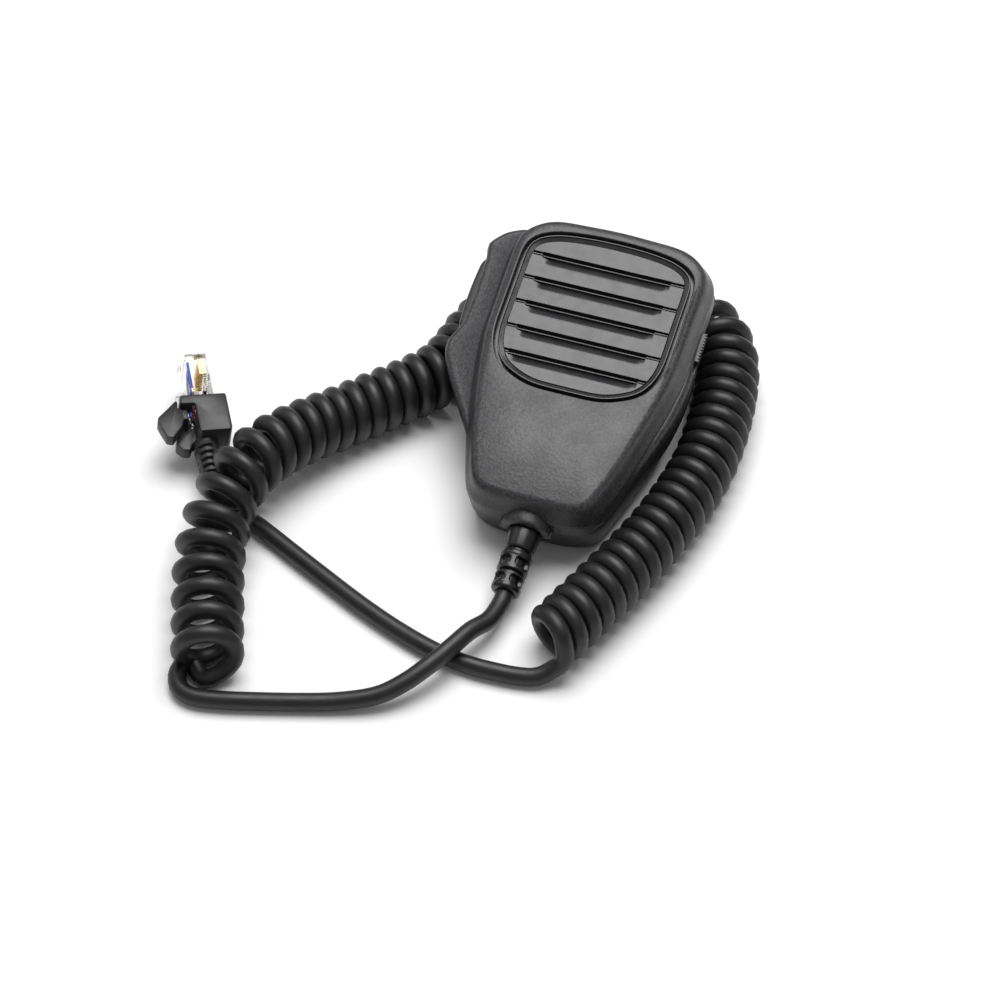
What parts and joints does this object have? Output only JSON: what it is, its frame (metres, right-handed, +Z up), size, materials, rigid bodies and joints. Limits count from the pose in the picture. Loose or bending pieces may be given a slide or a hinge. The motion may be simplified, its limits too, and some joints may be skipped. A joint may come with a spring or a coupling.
{
  "type": "hand microphone",
  "caption": "Palm microphone with a louvred face, side talk lever, slide switch, back hanging button and a curly cord ending in a clear modular plug in a rubber boot.",
  "frame": {"origin": "middle of the microphone case's footprint, on the table that it lies on", "axes": "+Z up from the table, +Y towards the head end of the case, +X to the right seen from the face"},
  "size_m": [0.1609, 0.1806, 0.0444],
  "materials": {
    "case_plastic": "fine spark-eroded grain",
    "panel_plastic": "semi-gloss",
    "lever_plastic": "matte",
    "rubber": "matte",
    "cord_rubber": "satin rubber",
    "boot_rubber": "matte rubber",
    "felt": "black felt",
    "steel": "satin",
    "black_steel": "blackened",
    "nickel": "satin nickel",
    "board": "solder mask",
    "chip_plastic": "matte",
    "orange_plastic": "smooth",
    "white_plastic": "smooth",
    "wire": "one colour for each wire",
    "gold": "gold flash",
    "clear_plastic": "clear polycarbonate"
  },
  "bodies": {
    "microphone": {"front_case": "case_plastic", "rear_case": "case_plastic", "louvre_panel": "panel_plastic", "panel_felt": "felt", "mic_capsule": "steel", "capsule_holder": "rubber", "circuit_board": "board", "board_parts": "chip_plastic", "board_screws": "steel", "case_screws": "black_steel", "ptt_pivot_pin": "steel", "ptt_return_spring": "steel", "ptt_switch_body": "chip_plastic", "slide_switch_can": "steel", "hanging_button": "nickel", "hanging_button_screw": "steel", "hanging_button_washer": "steel", "hanging_button_nut": "steel", "strain_relief": "cord_rubber", "cable_tail": "cord_rubber", "cable_clamp": "steel", "cable_clamp_screws": "steel", "wire_header": "white_plastic", "inner_wires": "wire", "cord_lead_mic": "cord_rubber", "curly_cord": "cord_rubber", "cord_lead_plug": "cord_rubber", "plug_strain_relief": "boot_rubber", "plug_boot": "boot_rubber", "plug_body": "clear_plastic", "plug_contacts": "gold", "plug_wires": "wire"},
    "ptt_lever": {"ptt_lever": "lever_plastic"},
    "ptt_plunger": {"ptt_switch_plunger": "orange_plastic"},
    "slide_switch": {"slide_switch_slider": "white_plastic", "slide_switch_thumb": "lever_plastic"},
    "plug_latch": {"plug_latch": "clear_plastic"},
    "plug_boot_flap": {"plug_boot_flap": "boot_rubber"}
  },
  "joints": [
    {"name": "ptt_hinge", "type": "hinge", "parent": "microphone", "child": "ptt_lever", "pos_m": [-0.0295, 0.03011, 0.02843], "axis": [0, -0.2419, 0.9703], "range_deg": [0, 4], "stiffness_Nm_per_rad": 0.5, "springref_deg": -1.72, "deforming": ["ptt_return_spring"]},
    {"name": "ptt_plunger_slide", "type": "slide", "parent": "microphone", "child": "ptt_plunger", "axis": [1, 0, 0], "range_m": [0, 0.0012]},
    {"name": "slide_switch_slide", "type": "slide", "parent": "microphone", "child": "slide_switch", "axis": [0, -0.9703, -0.2419], "range_m": [0, 0.003]},
    {"name": "plug_latch_hinge", "type": "hinge", "parent": "microphone", "child": "plug_latch", "pos_m": [-0.10814, -0.01802, 0.00946], "axis": [0.1378, 0.0397, 0.9897], "range_deg": [0, 6], "stiffness_Nm_per_rad": 0.15, "springref_deg": -1.15},
    {"name": "boot_flap_hinge", "type": "hinge", "parent": "microphone", "child": "plug_boot_flap", "pos_m": [-0.10315, -0.03269, 0.00936], "axis": [0.1378, 0.0397, 0.9897], "range_deg": [0, 10]}
  ],
  "couplings": [
    {"joint": "ptt_plunger_slide", "follows": "ptt_hinge", "m_per_rad": 0.0161},
    {"joint": "boot_flap_hinge", "follows": "plug_latch_hinge", "ratio": 1.64}
  ]
}
